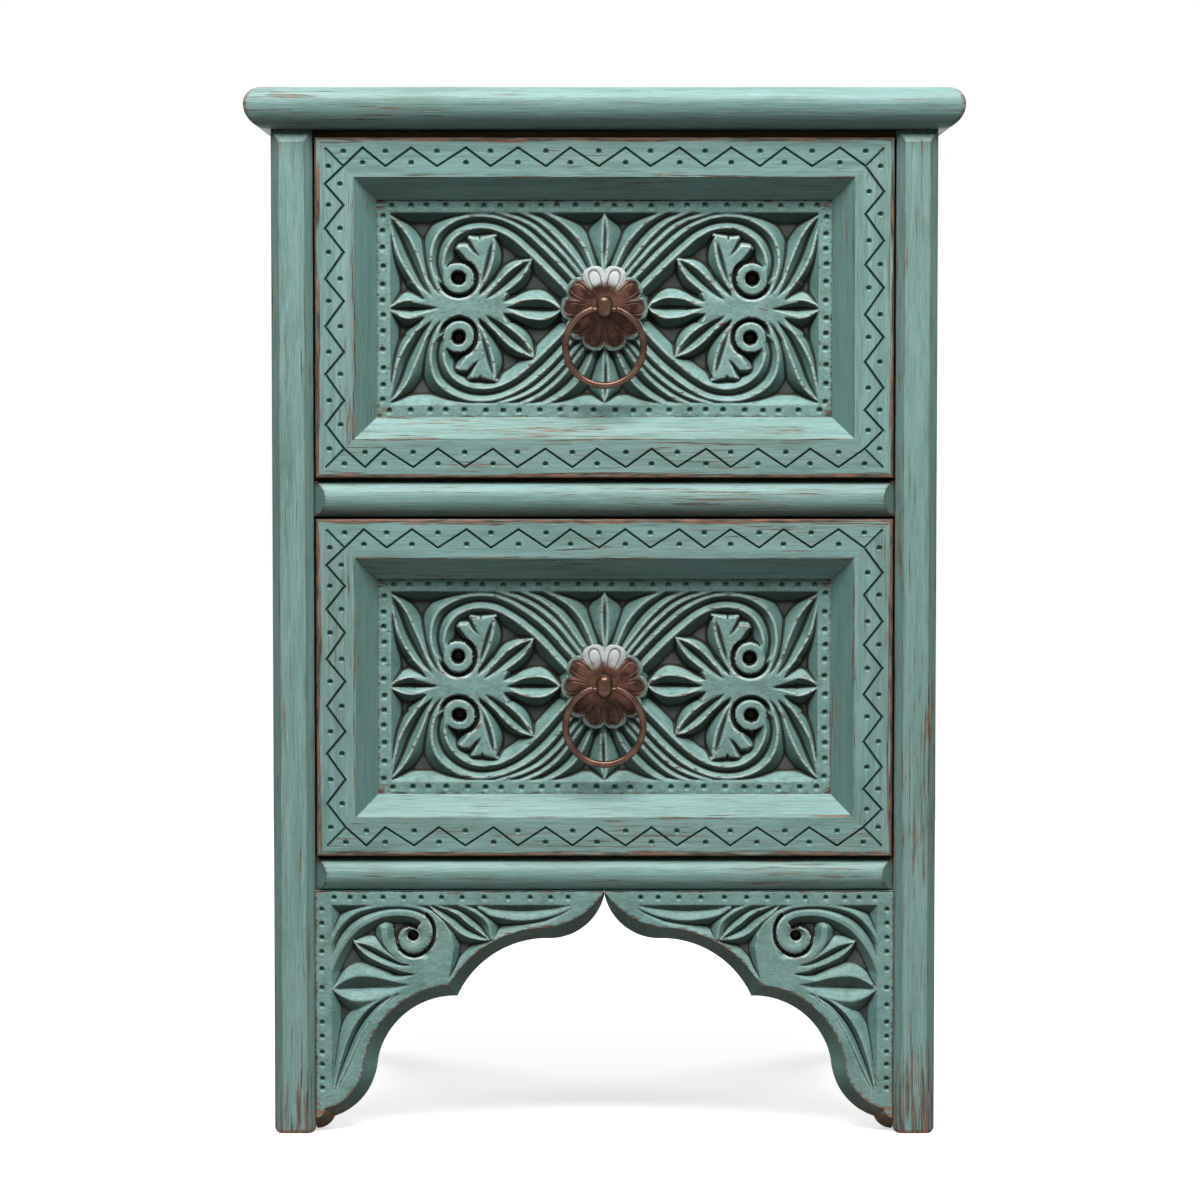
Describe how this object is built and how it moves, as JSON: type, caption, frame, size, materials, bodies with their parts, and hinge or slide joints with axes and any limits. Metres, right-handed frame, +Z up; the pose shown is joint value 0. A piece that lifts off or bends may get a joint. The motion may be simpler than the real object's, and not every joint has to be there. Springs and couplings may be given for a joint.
{
  "type": "chest of drawers",
  "caption": "Painted wooden bedside chest with carved drawer fronts, ring pulls on petal rosettes, chamfered posts and a cusped arch apron.",
  "frame": {"origin": "on the floor under the middle of the top board, which is the widest and deepest piece", "axes": "+Z up, -Y towards the drawer fronts, +X to the right of someone facing them"},
  "size_m": [0.45, 0.35, 0.6595],
  "materials": {
    "painted_wood": "worn teal paint, rubbed through to brown on the edges",
    "bare_wood": "plain planed hardwood, not painted",
    "aged_copper": "brown copper with green in the hollows",
    "steel": "dull steel"
  },
  "bodies": {
    "carcass": {"apron_bracket_left": "painted_wood", "apron_bracket_right": "painted_wood", "back_bottom_rail": "painted_wood", "back_panel": "painted_wood", "back_top_rail": "painted_wood", "bottom_rail": "painted_wood", "bracket_blocks": "bare_wood", "front_post_left": "painted_wood", "front_post_right": "painted_wood", "front_top_rail": "bare_wood", "kicker_left": "bare_wood", "kicker_right": "bare_wood", "lower_runner_left": "bare_wood", "lower_runner_right": "bare_wood", "middle_rail": "painted_wood", "rear_post_left": "painted_wood", "rear_post_right": "painted_wood", "runner_screws": "steel", "side_bottom_rail_left": "painted_wood", "side_bottom_rail_right": "painted_wood", "side_panel_left": "painted_wood", "side_panel_right": "painted_wood", "side_top_rail_left": "painted_wood", "side_top_rail_right": "painted_wood", "top_panel": "painted_wood", "top_screws": "steel", "upper_runner_left": "bare_wood", "upper_runner_right": "bare_wood"},
    "upper_drawer": {"upper_drawer_box_back": "bare_wood", "upper_drawer_box_bottom": "bare_wood", "upper_drawer_box_front": "bare_wood", "upper_drawer_box_nails": "steel", "upper_drawer_box_side_left": "bare_wood", "upper_drawer_box_side_right": "bare_wood", "upper_drawer_carved_panel": "painted_wood", "upper_drawer_front_bottom_bar": "painted_wood", "upper_drawer_front_left_bar": "painted_wood", "upper_drawer_front_right_bar": "painted_wood", "upper_drawer_front_top_bar": "painted_wood", "upper_drawer_pull_knob": "aged_copper", "upper_drawer_pull_nut": "steel", "upper_drawer_pull_rosette": "aged_copper"},
    "lower_drawer": {"lower_drawer_box_back": "bare_wood", "lower_drawer_box_bottom": "bare_wood", "lower_drawer_box_front": "bare_wood", "lower_drawer_box_nails": "steel", "lower_drawer_box_side_left": "bare_wood", "lower_drawer_box_side_right": "bare_wood", "lower_drawer_carved_panel": "painted_wood", "lower_drawer_front_bottom_bar": "painted_wood", "lower_drawer_front_left_bar": "painted_wood", "lower_drawer_front_right_bar": "painted_wood", "lower_drawer_front_top_bar": "painted_wood", "lower_drawer_pull_knob": "aged_copper", "lower_drawer_pull_nut": "steel", "lower_drawer_pull_rosette": "aged_copper"},
    "upper_ring": {"upper_drawer_pull_ring": "aged_copper"},
    "lower_ring": {"lower_drawer_pull_ring": "aged_copper"}
  },
  "joints": [
    {"name": "upper_drawer_slide", "type": "slide", "parent": "carcass", "child": "upper_drawer", "axis": [0, -1, 0], "range_m": [0, 0.2]},
    {"name": "lower_drawer_slide", "type": "slide", "parent": "carcass", "child": "lower_drawer", "axis": [0, -1, 0], "range_m": [0, 0.2]},
    {"name": "upper_ring_swing", "type": "hinge", "parent": "upper_drawer", "child": "upper_ring", "pos_m": [0, -0.1621, 0.5208], "axis": [-1, 0, 0], "range_deg": [-12, 192]},
    {"name": "lower_ring_swing", "type": "hinge", "parent": "lower_drawer", "child": "lower_ring", "pos_m": [0, -0.1621, 0.2819], "axis": [-1, 0, 0], "range_deg": [-12, 192]}
  ]
}
